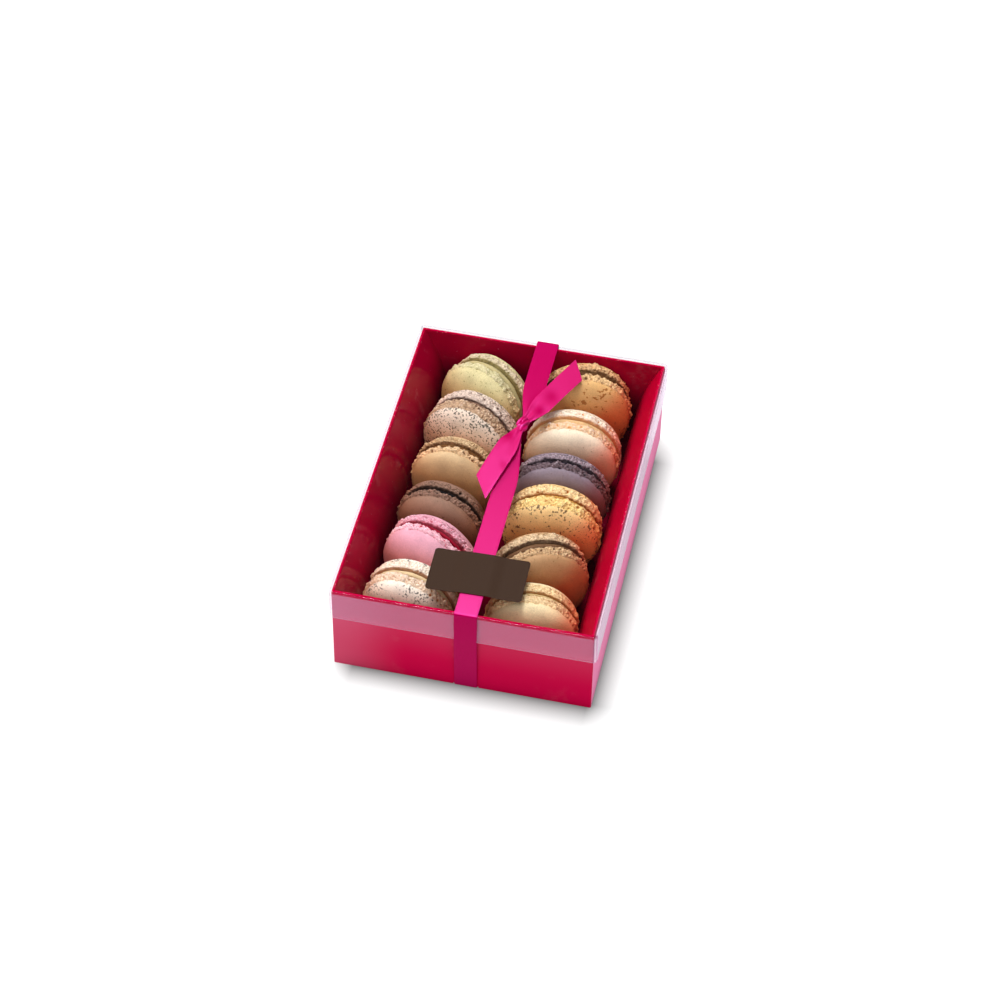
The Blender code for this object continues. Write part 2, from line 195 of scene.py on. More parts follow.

# Colours of each macaron: the smooth skin, the foot of its front shell, the foot of its back shell, which
# differs from the front foot partly as painted light for how the light falls on it, the painted shade of
# the foot's holes and creases, the nut specks and the filling. specks is how thickly the skin is specked,
# clumps how patchily, rim how much more so by its edge, and grind the length of a speck in millimetres.
Bake = namedtuple("Bake", "skin foot behind holes speck cream specks clumps rim grind")
BAKES = {
    "left_1": Bake("#DCD69E", "#DDDAAB", "#E3D8B7", "#8E8440", "#7C7A3A", "#CFC58C", 0.0, 0.3, 0.3, 1.0),
    "left_2": Bake("#EFE1CA", "#C8AB87", "#E9D9C6", "#5A3C2C", "#22261A", "#8C6C56", 0.9, 0.4, 0.6, 1.0),
    "left_3": Bake("#D9C293", "#F2D8AA", "#D6C195", "#7C5026", "#8A6030", "#7A5228", -0.4, 0.2, 0.0, 0.8),
    "left_4": Bake("#967762", "#977864", "#987964", "#1C0F0B", "#4A2E22", "#100B0A", -0.3, 0.2, 0.3, 1.0),
    "left_5": Bake("#E8ACBB", "#FFD4DE", "#E8B7C5", "#BC2444", "#C4486A", "#A3082E", -0.8, 0.2, 0.0, 1.0),
    "left_6": Bake("#FFFAE6", "#F3E2C5", "#FFFBE6", "#A86A34", "#221E1A", "#ECD6A4", 0.45, 0.8, 0.5, 0.9),
    "right_1": Bake("#E9BF7A", "#F2D096", "#EAC38C", "#70481F", "#A05E1E", "#6E4A27", 0.45, 0.8, 0.2, 1.5),
    "right_2": Bake("#FFF3D3", "#F4D9B1", "#FFFBE5", "#DA9C58", "#9A6A48", "#F2CE92", -0.3, 0.3, 0.0, 1.0),
    "right_3": Bake("#8E838D", "#746368", "#A7989F", "#1C161E", "#5A4238", "#2B2430", -0.3, 0.3, 0.0, 1.0),
    "right_4": Bake("#FFDC95", "#FFE898", "#FDE7AC", "#B0681E", "#3A2612", "#E2AE54", 0.45, 0.65, 0.75, 1.2),
    "right_5": Bake("#C49E6D", "#D9B989", "#EBD3A7", "#54361E", "#7A5230", "#7A5A3C", -0.4, 0.2, 0.0, 1.0),
    "right_6": Bake("#FFF2BE", "#F6E0AC", "#FCE6AE", "#B0783A", "#B08850", "#E6CC8C", -0.6, 0.2, 0.0, 1.0),
}


def linear(hex_colour, dimmed=1.0):
    """sRGB hex to the linear colour that the shaders take, dimmed to a share of itself."""
    parts = [int(hex_colour[i : i + 2], 16) / 255 for i in (1, 3, 5)]
    return [dimmed * (c / 12.92 if c <= 0.04045 else ((c + 0.055) / 1.055) ** 2.4) for c in parts] + [1.0]


def add_node(tree, kind, values=None, links=None, out=0, **settings):
    """Adds a node with settings, values for its sockets and outputs that feed them. Gives its output."""
    node = tree.nodes.new("ShaderNode" + kind)
    for name, value in settings.items():
        setattr(node, name, value)
    for socket, value in (values or {}).items():
        node.inputs[socket].default_value = value
    for socket, output in (links or {}).items():
        tree.links.new(output, node.inputs[socket])
    return node.outputs[out]


def new_material(name):
    """An empty material and its node tree."""
    made = bpy.data.materials.new(name)
    made.use_nodes = True
    made.node_tree.nodes.clear()
    return made, made.node_tree


def surfaced(made, shader):
    """The material, with a shader on its surface."""
    tree = made.node_tree
    tree.links.new(shader, tree.nodes.new("ShaderNodeOutputMaterial").inputs["Surface"])
    return made


def ease(share):
    """0 to 1 with a soft start and end."""
    share = min(max(share, 0.0), 1.0)
    return share * share * (3 - 2 * share)


def hump(distance, size):
    """1 at no distance, falling smoothly towards 0 over a size."""
    return math.exp(-((distance / size) ** 2))


def add_object(name, data):
    """An object in the scene."""
    thing = bpy.data.objects.new(name, data)
    bpy.context.scene.collection.objects.link(thing)
    return thing


def skin(name, rows, joined=False):
    """A closed skin through rows of points, each row a loop of the same count or a single end point."""
    points = [tuple(point) for row in rows for point in row]
    starts = [sum(map(len, rows[:number])) for number in range(len(rows))]
    faces = []
    count = max(map(len, rows))
    followers = list(range(1, len(rows))) + ([0] if joined else [])
    for here, after in zip(range(len(rows)), followers):
        low, high = starts[here], starts[after]
        for i in range(count):
            j = (i + 1) % count
            if len(rows[here]) == 1:
                faces.append((low, high + j, high + i))
            elif len(rows[after]) == 1:
                faces.append((low + i, low + j, high))
            else:
                faces.append((low + i, low + j, high + j, high + i))
    if not joined and len(rows[0]) > 1:
        faces.append(tuple(starts[0] + i for i in reversed(range(count))))
    if not joined and len(rows[-1]) > 1:
        faces.append(tuple(starts[-1] + i for i in range(count)))
    mesh = bpy.data.meshes.new(name)
    mesh.from_pydata(points, [], faces)
    return mesh


def paint(mesh, names, marks):
    """Keeps one number of each name for each point of the mesh, for its material to read."""
    for name, values in zip(names, zip(*marks)):
        layer = mesh.attributes.new(name, "FLOAT", "POINT")
        layer.data.foreach_set("value", np.asarray(values, np.float32))


def add_piece(name, mesh, materials, replaced, sharp_degrees=40):
    """Puts a mesh in the scene in place of its solid."""
    mesh.shade_smooth()
    mesh.set_sharp_from_angle(angle=math.radians(sharp_degrees))
    piece = add_object(name, mesh)
    for material in materials:
        mesh.materials.append(material)
    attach(piece, "root")
    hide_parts(replaced)
    return piece


# Card tray


def card_outline(grown, z):
    """The tray's outline moved outwards by grown, anticlockwise from above, with points near each corner."""
    radius = max(TRAY_CORNER + grown, 0.2 * MM)
    half_x, half_y = TRAY_WIDTH / 2 + grown, TRAY_LENGTH / 2 + grown
    points = []
    for quarter, (x, y) in enumerate(((1, 1), (-1, 1), (-1, -1), (1, -1))):
        middle = Vector((x * (half_x - radius), y * (half_y - radius), z))
        start = quarter * math.pi / 2
        before = Vector((math.cos(start), math.sin(start), 0)) * radius
        after = Vector((-math.sin(start), math.cos(start), 0)) * radius
        points.append(middle + before - after.normalized() * CORNER_MARGIN)
        for step in range(CORNER_STEPS + 1):
            angle = step / CORNER_STEPS * math.pi / 2
            points.append(middle + before * math.cos(angle) + after * math.sin(angle))
        points.append(middle + after - before.normalized() * CORNER_MARGIN)
    return points


def panel_reach(x, y, depth):
    """How far in from the rim the bowed inner panel on the side of x stands, at a depth below the rim."""
    near, far = LEFT_PANEL_FOOT if x < 0 else RIGHT_PANEL_FOOT
    foot = near + (far - near) * (y / TRAY_LENGTH + 0.5)
    return foot * (1 - (1 - depth / CAVITY_DEPTH) ** 2)


def cavity_outline(depth, set_in=RIM):
    """The tray's inside at a depth below its rim."""
    outline = card_outline(-set_in, TRAY_HEIGHT - depth)
    for point in outline:
        point.x -= math.copysign(panel_reach(point.x, point.y, depth), point.x)
    return outline


def make_tray():
    """Folded card tray: straight outer walls, a rounded fold along the rim, and bowed inner side panels."""
    cards = (
        # Inside, all but the right panel is gloss card, whose darker ink is painted shade for the walls in
        # shade; the lit right panel and the rim are dull card with a brighter ink
        coated_card("satin_coated_card", "#BA003C", 0.3, 0.05, "#FF1040", 0.012, 0.2),
        coated_card("gloss_coated_card", "#AC0031", 0.02, 0.3, "#FF7060", 0.05, 0.0),
        coated_card("dull_coated_card", "#B8002C", 0.3, 0.02, "#FF0830", 0.05, 0.0),
        coated_card("slant_coated_card", "#BA003C", 0.3, 0.05, "#FF1040", 0.012, 0.1, "#F793BC"),
    )
    fold = RIM / 2
    heights = (0, WORN_EDGE, CORNER_MARGIN, TRAY_HEIGHT - 1.3 * BRIGHT_EDGE, TRAY_HEIGHT - BRIGHT_EDGE)
    rows = [card_outline(0, height) for height in heights]
    for step in range(RIM_STEPS + 1):
        angle = math.pi * step / RIM_STEPS
        rows.append(cavity_outline(fold * (1 - math.sin(angle)), fold * (1 - math.cos(angle))))
    for level in range(1, PANEL_LEVELS + 1):
        rows.append(cavity_outline(fold + (CAVITY_DEPTH - fold) * level / PANEL_LEVELS))
    tray = add_piece("folded_tray", skin("folded_tray", rows), cards, "tray")
    press_ribbon_path(tray)
    for face in tray.data.polygons:
        face.material_index = card_kind(face.center, face.normal)
    places = [vertex.co for vertex in tray.data.vertices]
    # Marks that the card's colour reads: real rubbing, a painted highlight along the fold, and painted shade
    # down the inside
    marks = [(edge_wear(place), painted_fold_highlight(place), painted_inside_shade(place)) for place in places]
    paint(tray.data, ("worn", "crease", "deep"), marks)


def card_kind(middle, normal):
    """Which card a face of the tray shows: its number among the tray's materials."""
    satin_side, gloss_side, dull_side, slant_side = range(4)
    beyond = (abs(middle.x) > TRAY_WIDTH / 2 - RIM / 2, abs(middle.y) > TRAY_LENGTH / 2 - RIM / 2)
    if not any(beyond) and FLOOR / 2 < middle.z < TRAY_HEIGHT - RIM / 2:
        return dull_side if normal.x < -0.5 else gloss_side
    if middle.z > TRAY_HEIGHT - BRIGHT_EDGE:
        return dull_side
    return slant_side if beyond[0] and abs(normal.x) > 0.95 else satin_side


def press_ribbon_path(tray):
    """Presses the shallow path of the ribbon across the underside."""
    depth = UNDERSIDE_CLEAR + RIBBON_SOLID + GAP
    path = add_object("ribbon_path", bpy.data.meshes.new("ribbon_path"))
    shape = bmesh.new()
    size = Matrix.Diagonal((RIBBON_WIDTH + 4 * GAP, TRAY_LENGTH * 1.1, 2 * depth, 1))
    bmesh.ops.create_cube(shape, size=1, matrix=Matrix.Translation((RIBBON_X, 0, 0)) @ size)
    shape.to_mesh(path.data)
    shape.free()
    cut = tray.modifiers.new("ribbon path", "BOOLEAN")
    cut.operation = "DIFFERENCE"
    cut.object = path
    bpy.context.view_layer.update()
    evaluated = tray.evaluated_get(bpy.context.evaluated_depsgraph_get())
    pressed = bpy.data.meshes.new_from_object(evaluated)
    tray.modifiers.clear()
    unpressed = tray.data
    tray.data = pressed
    bpy.data.objects.remove(path)
    bpy.data.meshes.remove(unpressed)


def edge_wear(place):
    """How much the card's coating is rubbed: right through on the upright edges, in flecks on the rim."""
    from_side = TRAY_WIDTH / 2 - abs(place.x)
    from_end = TRAY_LENGTH / 2 - abs(place.y)
    if from_side + from_end < 0.5 * TRAY_CORNER:
        return WORN_THROUGH
    if place.z > TRAY_HEIGHT - RIM / 2:
        return WORN_RIM
    return WORN_FOOT if place.z < WORN_EDGE / 2 and from_side + from_end < TRAY_LENGTH / 4 else 0.0


def painted_fold_highlight(place):
    """1 on the rim and on the outside just below it, where a painted highlight along the fold lies:
    a clean, slightly brighter crimson.
    """
    outside = abs(place.x) > TRAY_WIDTH / 2 - RIM / 2 or abs(place.y) > TRAY_LENGTH / 2 - RIM / 2
    depth = TRAY_HEIGHT - place.z
    return 1.0 if depth < (1.1 * BRIGHT_EDGE if outside else RIM / 4) else 0.0


def painted_inside_shade(place):
    """0 to 1 down the inside of the card, for painted shade that darkens it further down,
    where the macarons keep the light off.
    """
    if abs(place.x) > TRAY_WIDTH / 2 - RIM * 0.9 or abs(place.y) > TRAY_LENGTH / 2 - RIM * 0.9:
        return 0.0
    return ease((TRAY_HEIGHT - place.z - SHADE_START) / SHADE_RUN)


def coated_card(name, ink, roughness, gloss, tint, dusty, painted_reflection_and_sheen, sheen=None):
    """Paperboard printed crimson. Its coat gives blurred reflections of what stands by it, in the ink's
    tint, rubbed edges show the pale board, and dust clings to it. A pale painted reflection of the bright
    table lies on it high up and to the left, with painted shade down the inside and a painted highlight
    along the fold. The amount of the painted reflection also sets the coat's own sheen weight. A sheen is a
    painted reflection too: a pale diffuse tone mixed in only at a grazing slant, for the bright table that
    the coat mirrors."""
    made, tree = new_material(name)
    place = add_node(tree, "TexCoord", out="Object")
    worn, deep, crease = [
        add_node(tree, "Attribute", out="Fac", attribute_name=mark) for mark in ("worn", "deep", "crease")
    ]
    # Rubbing comes in flecks of about half a millimetre.
    flecks = add_node(tree, "TexNoise", {"Scale": 1800, "Detail": 3}, {"Vector": place})
    rubbed = add_node(tree, "Math", links={0: flecks, 1: worn}, operation="MULTIPLY")
    bare = add_node(tree, "MapRange", {"From Min": 0.52, "From Max": 0.58}, {"Value": rubbed})
    # Dust grains and lint are 0.1 to 0.4 mm across, a few to the square centimetre.
    cells = add_node(tree, "TexVoronoi", {"Scale": 270}, {"Vector": place})
    dust = add_node(tree, "MapRange", {"From Min": dusty, "From Max": 0.6 * dusty}, {"Value": cells})
    # Almond powder has smudged the glossier card in cloudy patches a centimetre across.
    clouds = add_node(tree, "TexNoise", {"Scale": 75, "Detail": 5, "Roughness": 0.65}, {"Vector": place})
    thinned = {"From Min": 0.6, "From Max": 0.8, "To Max": 4 * dusty}
    smudged = add_node(tree, "MapRange", thinned, {"Value": clouds})
    powdered = add_node(tree, "Math", links={0: dust, 1: smudged}, operation="MAXIMUM")
    parts = add_node(tree, "SeparateXYZ", links={0: place}).node.outputs
    # Painted reflection: a pale tone high up and towards the left end, standing for the bright table that
    # the coat mirrors there
    painted_reflection_ramps = []
    for axis, start, full, most in (("Z", 0.012, 0.036, 0.33), ("X", -0.024, -0.058, 0.9)):
        ramp = {"From Min": start, "From Max": full, "To Max": most * painted_reflection_and_sheen}
        painted_reflection_ramps.append(add_node(tree, "MapRange", ramp, {"Value": parts[axis]}, **SMOOTH))
    painted_reflection = add_node(tree, "Math", links=dict(enumerate(painted_reflection_ramps)), operation="ADD")
    # Painted shade: the inside is darkened further down, standing for the light that the macarons keep off
    painted_shade = add_node(tree, "Math", {1: 0.7}, {0: deep}, operation="MULTIPLY")
    # The print is a shade uneven over a few centimetres.
    shade = add_node(tree, "TexNoise", {"Scale": 30, "Detail": 2}, {"Vector": place})
    colour = add_node(tree, "Mix", {6: linear(ink), 7: linear(ink, 0.92)}, {0: shade}, **COLOURS)
    # Layers over the print: dust and smudges, the painted reflection, painted shade, the painted fold
    # highlight, and rubbed bare board
    layers = {"#E0A0A8": powdered, "#DE94B2": painted_reflection, "#1C0208": painted_shade, "#C0003C": crease, "#FFDCE0": bare}
    for tone, cover in layers.items():
        colour = add_node(tree, "Mix", {7: linear(tone)}, {0: cover, 6: colour}, **COLOURS)
    # Board of this weight is never quite flat: soft waves about 25 mm long.
    waves = add_node(tree, "TexNoise", {"Scale": 40, "Detail": 1}, {"Vector": place})
    bump = add_node(tree, "Bump", {"Strength": 0.35, "Distance": 0.0006}, {"Height": waves})
    coat = {
        "Roughness": roughness,
        "IOR": 1.35,
        "Specular IOR Level": gloss,
        "Specular Tint": linear(tint),
        "Sheen Weight": painted_reflection_and_sheen,
        "Sheen Roughness": 0.2,
        "Sheen Tint": linear("#FF90B8"),
    }
    shader = add_node(tree, "BsdfPrincipled", coat, {"Base Color": colour, "Normal": bump})
    # Painted reflection at a grazing slant: a pale diffuse tone mixed in, standing for the bright table
    if sheen:
        slant = add_node(tree, "LayerWeight", {"Blend": 0.5}, out="Facing")
        grazing = add_node(tree, "MapRange", {"From Min": 0.6, "From Max": 0.87}, {"Value": slant})
        pale = add_node(tree, "BsdfDiffuse", {"Color": linear(sheen)})
        shader = add_node(tree, "MixShader", links={0: grazing, 1: shader, 2: pale})
    return surfaced(made, shader)


# Film lid


def skirt_outline(grown, z):
    """The lid's outline at a height, skewed more and more towards its lower edge."""
    outline = card_outline(grown, z)
    down = (LID_TOP - z) / LID_SKIRT
    for point in outline:
        skew = down * (0.5 + point.x / TRAY_WIDTH) * (0.5 - point.y / TRAY_LENGTH)
        point.z += SKIRT_LIFT * skew
        point.y -= SKIRT_PUSH * skew
        point.x += SKIRT_PUSH * 0.5 * skew
    return outline


def lid_face(grown, top):
    """One face of the lid, from its flat top over the fold and down the skirt."""
    rows = [skirt_outline(grown - LID_FOLD - LID_BORDER, top)]
    for step in range(FOLD_STEPS + 1):
        angle = math.pi / 2 * step / FOLD_STEPS
        in_from_skirt = LID_FOLD * (1 - math.sin(angle))
        rows.append(skirt_outline(grown - in_from_skirt, top - LID_FOLD * (1 - math.cos(angle))))
    high, low = top - LID_FOLD - VEIL_START, LID_TOP - LID_SKIRT
    for level in range(SKIRT_LEVELS + 1):
        rows.append(skirt_outline(grown, high + (low - high) * level / SKIRT_LEVELS))
    return rows


def make_lid():
    """Clear film lid: a flat top with a rounded fold, and a skirt that slips down over the tray."""
    inner, outer = lid_face(LID_PLAY, LID_INSIDE_TOP), lid_face(LID_PLAY + FILM, LID_TOP)
    # Films: the haze on the front and right skirt is partly a painted reflection, and the folds and the cut
    # edge carry painted lines
    films = (
        clear_film("clear_film", "#F9F7F8", 0.0, 1.0, square_on=0.01),
        clear_film("hazed_film", "#FDFBFC", 0.055, 0.9),
        clear_film("hidden_film", "#FDFBFC", 0.02, 0.15),
        film_fold("soft_fold", "#B0AEB4", 0.28, 0.5),
        film_fold("painted_glint_fold", "#F0E0EC", 0.45, 0.3),
        clear_film("milky_film", "#EEE8EE", 0.07, 0.9),
        film_fold("cut_edge", "#E8D8EC", 0.3, 0.3),
        clear_film("border_film", "#FAFAFA", 0.05, 0.9),
    )
    lid = add_piece("film_lid", skin("film_lid", inner + outer[::-1]), films, "lid")
    for face in lid.data.polygons:
        face.material_index = film_kind(face.center, face.normal, len(face.vertices))


def film_kind(middle, normal, edges):
    """Which film a face of the lid shows: its number among the lid's materials."""
    clear, haze_and_painted_veil, hidden, soft_fold, painted_glint_fold, painted_lavender_veil, cut_edge, border = range(8)
    right_side = middle.x > TRAY_WIDTH / 2
    front = middle.y < LID_BORDER - TRAY_LENGTH / 2
    flat = abs(normal.z) > 0.99
    on_fold = middle.z > LID_INSIDE_TOP - LID_FOLD * 1.2 and not flat
    if on_fold and front:
        return clear
    # Folds and corners: a painted glint on the right side, a painted faint dark line elsewhere
    if on_fold or (abs(normal.x) > 0.5 and abs(normal.y) > 0.5):
        return painted_glint_fold if right_side else soft_fold
    # The skirt's cut edge takes a pale painted glint
    if flat and middle.z < LID_TOP - LID_SKIRT / 2:
        return cut_edge
    if flat:
        return border if edges == 4 and not front and not right_side else clear
    if front and middle.z > LID_TOP - LID_FOLD - FILM - VEIL_START:
        return clear
    # The right skirt and the front take heavier haze, partly a painted reflection
    if right_side:
        return painted_lavender_veil
    return haze_and_painted_veil if front else hidden


def clear_film(name, tint, haze, shine, square_on=0.04):
    """Polyester sheet, calendered smooth. It shows only what it mirrors, more at a slant, and a faint haze.
    The haze, a pale lavender diffuse tone, is partly a painted reflection: it is heavier where the film
    mirrors the bright table, most on the front and right skirt.

    Plastic mirrors 4% square on. The photo shows less of the studio in the lid's top, so that mirrors 1%."""
    made, tree = new_material(name)
    # Schlick's rule: nearly all is mirrored at a grazing slant, and only square_on when seen square on.
    slant = add_node(tree, "LayerWeight", {"Blend": 0.5}, out="Facing")
    steep = add_node(tree, "Math", {1: 5.0}, {0: slant}, operation="POWER")
    shares = {1: (1 - square_on) * shine, 2: square_on * shine}
    mirrored = add_node(tree, "Math", shares, {0: steep}, operation="MULTIPLY_ADD")
    through = add_node(tree, "BsdfTransparent", {"Color": linear(tint)})
    painted_lavender_veil = add_node(tree, "BsdfDiffuse", {"Color": linear("#D8C8F0")})
    haze_and_painted_veil = add_node(tree, "MixShader", {0: haze}, {1: through, 2: painted_lavender_veil})
    polish = {"Base Color": linear("#E6D2EC"), "Roughness": 0.08, "Metallic": 1.0}
    mirror = add_node(tree, "BsdfPrincipled", polish)
    return surfaced(made, add_node(tree, "MixShader", links={0: mirrored, 1: haze_and_painted_veil, 2: mirror}))


def film_fold(name, tone, strength, roughness):
    """Polyester sheet where it is creased or cut: a soft fold bends the light away and is painted as a faint
    dark line, and a crease on the right side and the cut edge take a pale painted glint."""
    made, tree = new_material(name)
    bent = {
        "Base Color": linear(tone),
        "Roughness": roughness,
        "Alpha": strength,
        "IOR": 1.3,
        "Specular IOR Level": 0.1,
    }
    return surfaced(made, add_node(tree, "BsdfPrincipled", bent))


# Ribbon


def band_places():
    """Points round a cross-section: (1 on the outer face or -1 on the inner, share of the width)."""
    shares = [0.5 - column / RIBBON_COLUMNS for column in range(RIBBON_COLUMNS + 1)]
    return [(side, side * share) for side in (1, -1) for share in shares]


def band_row(middle, across, outward, width, lift, skew=Vector()):
    """One cross-section of ribbon: over the outer face towards -across, back along the inner face."""
    row = []
    for side, share in band_places():
        rounding = math.sqrt(max(0.0, 1 - (2 * abs(share)) ** 12))
        height = side * RIBBON_THICK / 2 * rounding + lift(share)
        row.append(middle + across * width * share + outward * height + skew * share)
    return row


def band_marks(start, run):
    """For each point of a run, its distance along the ribbon and across it in metres, and its gloss:
    how much painted highlight it takes.
    """
    return [
        (start + length, share * RIBBON_WIDTH, shine(share))
        for _, length, shine in run
        for _, share in band_places()
    ]


def gathered_width(distance, run):
    """Ribbon width at a distance along it from the knot, where it spreads out over a run."""
    return KNOT_WAIST + (RIBBON_WIDTH - KNOT_WAIST) * ease(0.08 + 0.92 * abs(distance) / run)


def flat(share):
    """How the ribbon stands up across its width where it is pulled flat: not at all."""
    return 0.0


def pleats(distance, folds, lean):
    """How the ribbon stands up across its width at a distance from the knot, where it is gathered."""
    depth = PLEAT * (1 - ease(abs(distance) / GATHER_RUN))
    return lambda share: depth * (1 + math.cos(2 * math.pi * folds * (share + lean)))


def loop_stations():
    """Middle line of the tied loop seen from the side, all the way round: (y, z, outward angle)."""
    half_thick = RIBBON_SOLID / 2
    top = LID_TOP + GAP + half_thick
    far = TRAY_LENGTH / 2 + LID_PLAY + FILM + GAP + half_thick
    low = UNDERSIDE_CLEAR + half_thick
    far_low = TRAY_LENGTH / 2 + GAP + half_thick
    corners = ((far, top, 0), (-far, top, 90), (-far_low, low, 180), (far_low, low, 270))
    stations = []
    for y, z, start in corners:
        middle_y = y - math.copysign(RIBBON_TURN, y)
        middle_z = z - math.copysign(RIBBON_TURN, z - TRAY_HEIGHT / 2)
        for step in range(CORNER_STEPS + 1):
            angle = math.radians(start + 90 * step / CORNER_STEPS)
            y_on = middle_y + RIBBON_TURN * math.cos(angle)
            z_on = middle_z + RIBBON_TURN * math.sin(angle)
            stations.append((y_on, z_on, angle))
        if start == 0:
            steps = int(2 * far / RIBBON_STEP)
            run = [far - 2 * far * step / steps for step in range(1, steps)]
            stations += [(y_on, top, math.pi / 2) for y_on in run]
        if start == 90:
            stations.append((-far, LID_TOP - LID_SKIRT, math.pi))
    stations.append((far, LID_TOP - LID_SKIRT, 0.0))
    return stations


def make_loop():
    """The ribbon's run over the lid, down both ends and under the tray: (row, distance, gloss) by steps.

    It is pulled flat down the ends, where it takes no painted highlight and keeps its darker dye as painted
    shade. Over the lid its painted highlight grows towards the front, and by the knot the far run takes a
    painted highlight on its left edge and painted shade on its right."""
    run = []
    length = 0.0
    last = None
    for y, z, angle in loop_stations():
        x, width = RIBBON_X, RIBBON_WIDTH
        lift, painted_sheen, turned = flat, 0.0, 0.0
        if z > LID_TOP and abs(math.sin(angle) - 1) < 0.01:
            beyond = y - KNOT_Y
            gather = FAR_GATHER if beyond > 0 else NEAR_GATHER
            slewed = max(-1.0, min(1.0, beyond / KNOT_SLEW_RUN))
            x += KNOT_SLEW * slewed * (1 - ease(abs(beyond) / gather))
            width = gathered_width(beyond, gather)
            lift = pleats(beyond, folds=1.5, lean=0.2)
            # Painted highlight over the lid, growing towards the front
            painted_sheen = 0.1 + 0.75 * ease(0.55 - y / (0.8 * TRAY_LENGTH))
            painted_sheen += 0.5 * ease((FRONT_PAINTED_SHEEN - y) / FRONT_PAINTED_SHEEN_RUN)
            # By the knot the far run takes a painted highlight on its left edge and painted shade on its
            # right
            turned = 1 - ease(beyond / FAR_GATHER) if beyond > 0 else 0.0
        middle = Vector((x, y, z))
        outward = Vector((0, math.cos(angle), math.sin(angle)))
        length += (middle - last).length if last else 0.0
        last = middle

        def shine(share, painted_sheen=painted_sheen, turned=turned):
            return max(0.0, painted_sheen + turned * (0.5 - 1.8 * ease(share + 0.4)))

        run.append((band_row(middle, Vector((1, 0, 0)), outward, width, lift), length, shine))
    return run


def make_tail(tip, slant, rise, dents):
    """A loose end from the knot to its slanted cut: (row, distance, gloss) by steps. Its left edge is
    longer. Its dents, given as (distance, side, size, depth), are sunk into it and painted darker as
    painted shade where they turn away from the light, and a painted highlight lies along its left edge
    near the knot."""
    root = Vector((RIBBON_X, KNOT_Y, LID_TOP + TAIL_ROOT_HEIGHT))
    flat_run = Vector((tip.x - root.x, tip.y - root.y, 0))
    along = flat_run.normalized()
    left = Vector((0, 0, 1)).cross(along)
    run = []
    for step in range(TAIL_STEPS + 1):
        share = step / TAIL_STEPS
        distance = share * flat_run.length
        middle = root + along * distance
        middle.z += (tip.z - root.z) * share + rise * math.sin(math.pi * share)
        gathered = pleats(distance, folds=1.5, lean=0.1)

        def dented(place, distance=distance):
            return sum(
                depth * hump(math.hypot(distance - far, place * RIBBON_WIDTH - side), size)
                for far, side, size, depth in dents
            )

        def lift(place, gathered=gathered, dented=dented):
            return gathered(place) * 0.8 - dented(place)

        width = gathered_width(distance, TAIL_GATHER)
        row = band_row(middle, left, Vector((0, 0, 1)), width, lift, along * slant * share)
        # Painted highlight along the left edge near the knot, and painted shade in the dents, through the
        # gloss
        flash = 0.9 * hump(distance - FLASH, FLASH)

        def shine(place, dented=dented, flash=flash):
            return max(0.0, 0.9 + flash * ease(place + 0.2) - dented(place) / (0.5 * MM))

        run.append((row, distance, shine))
    return run


def make_knot():
    """The single knot: a tight bead with aslant folds and a small curl on its near left: (rows, glosses).
    The glosses paint a highlight on the folds' ridges and on a small lobe, and shade in the curl.
    """
    middle = Vector((RIBBON_X, KNOT_Y, LID_TOP + GAP + KNOT_SIZE.z / 2))
    ring_count, side_count = 40, 56
    rows = []
    glosses = []
    for ring in range(ring_count + 1):
        tilt = math.pi * ring / ring_count
        row = []
        for side in range(side_count if 0 < ring < ring_count else 1):
            angle = -2 * math.pi * side / side_count
            x = math.cos(angle) * math.sin(tilt) * KNOT_SIZE.x / 2
            y = -math.cos(tilt) * KNOT_SIZE.y / 2
            z = math.sin(angle) * math.sin(tilt) * KNOT_SIZE.z / 2
            ridge = 0.5 + 0.5 * math.cos(2 * math.pi * (0.85 * x - 0.5 * y + 0.3 * MM) / KNOT_FOLD)
            curl = hump(math.hypot(x + KNOT_CURL, y + 0.4 * KNOT_CURL), KNOT_CURL)
            lobe = hump(math.hypot(x - 0.3 * KNOT_CURL, y + 2.6 * KNOT_CURL), KNOT_CURL)
            girth = 1 - 0.26 * (1 - ridge) * math.sin(tilt) - 0.3 * curl + 0.12 * lobe
            row.append(middle + Vector((x * girth, y, z * girth)))
            # Painted highlight on the ridges and the lobe, painted shade in the curl
            glosses.append(max(0.0, 1.3 * ridge - 1.2 * curl + lobe))
        rows.append(row)
    return rows, glosses


def make_ribbon():
    """Loop, knot and both loose ends, one tied ribbon."""
    far_dents = ((12 * MM, -1.5 * MM, 3.8 * MM, 0.45 * MM), (23 * MM, -0.5 * MM, 4.4 * MM, 0.38 * MM))
    near_dents = ((10 * MM, -3.2 * MM, 3.4 * MM, 0.5 * MM), (24 * MM, 3.6 * MM, 2.2 * MM, 0.2 * MM))
    runs = (
        make_loop(),
        make_tail(FAR_TAIL_TIP, FAR_TAIL_SLANT, FAR_TAIL_RISE, far_dents),
        make_tail(NEAR_TAIL_TIP, NEAR_TAIL_SLANT, NEAR_TAIL_RISE, near_dents),
    )
    whole = bmesh.new()
    marks = []
    flat_length = 0.0
    for run in runs:
        whole.from_mesh(skin("ribbon_run", [row for row, _, _ in run], joined=run is runs[0]))
        marks += band_marks(flat_length, run)
        flat_length += run[-1][1]
    knot, knot_glosses = make_knot()
    whole.from_mesh(skin("ribbon_knot", knot))
    knot_points = [point for row in knot for point in row]
    for point, gloss in zip(knot_points, knot_glosses):
        marks.append((flat_length + (point.y - KNOT_Y), point.x - RIBBON_X, gloss))
    mesh = bpy.data.meshes.new("satin_ribbon")
    whole.to_mesh(mesh)
    whole.free()
    paint(mesh, ("along", "across", "gloss"), marks)
    ribbon = add_piece("satin_ribbon", mesh, [satin()], "ribbon")


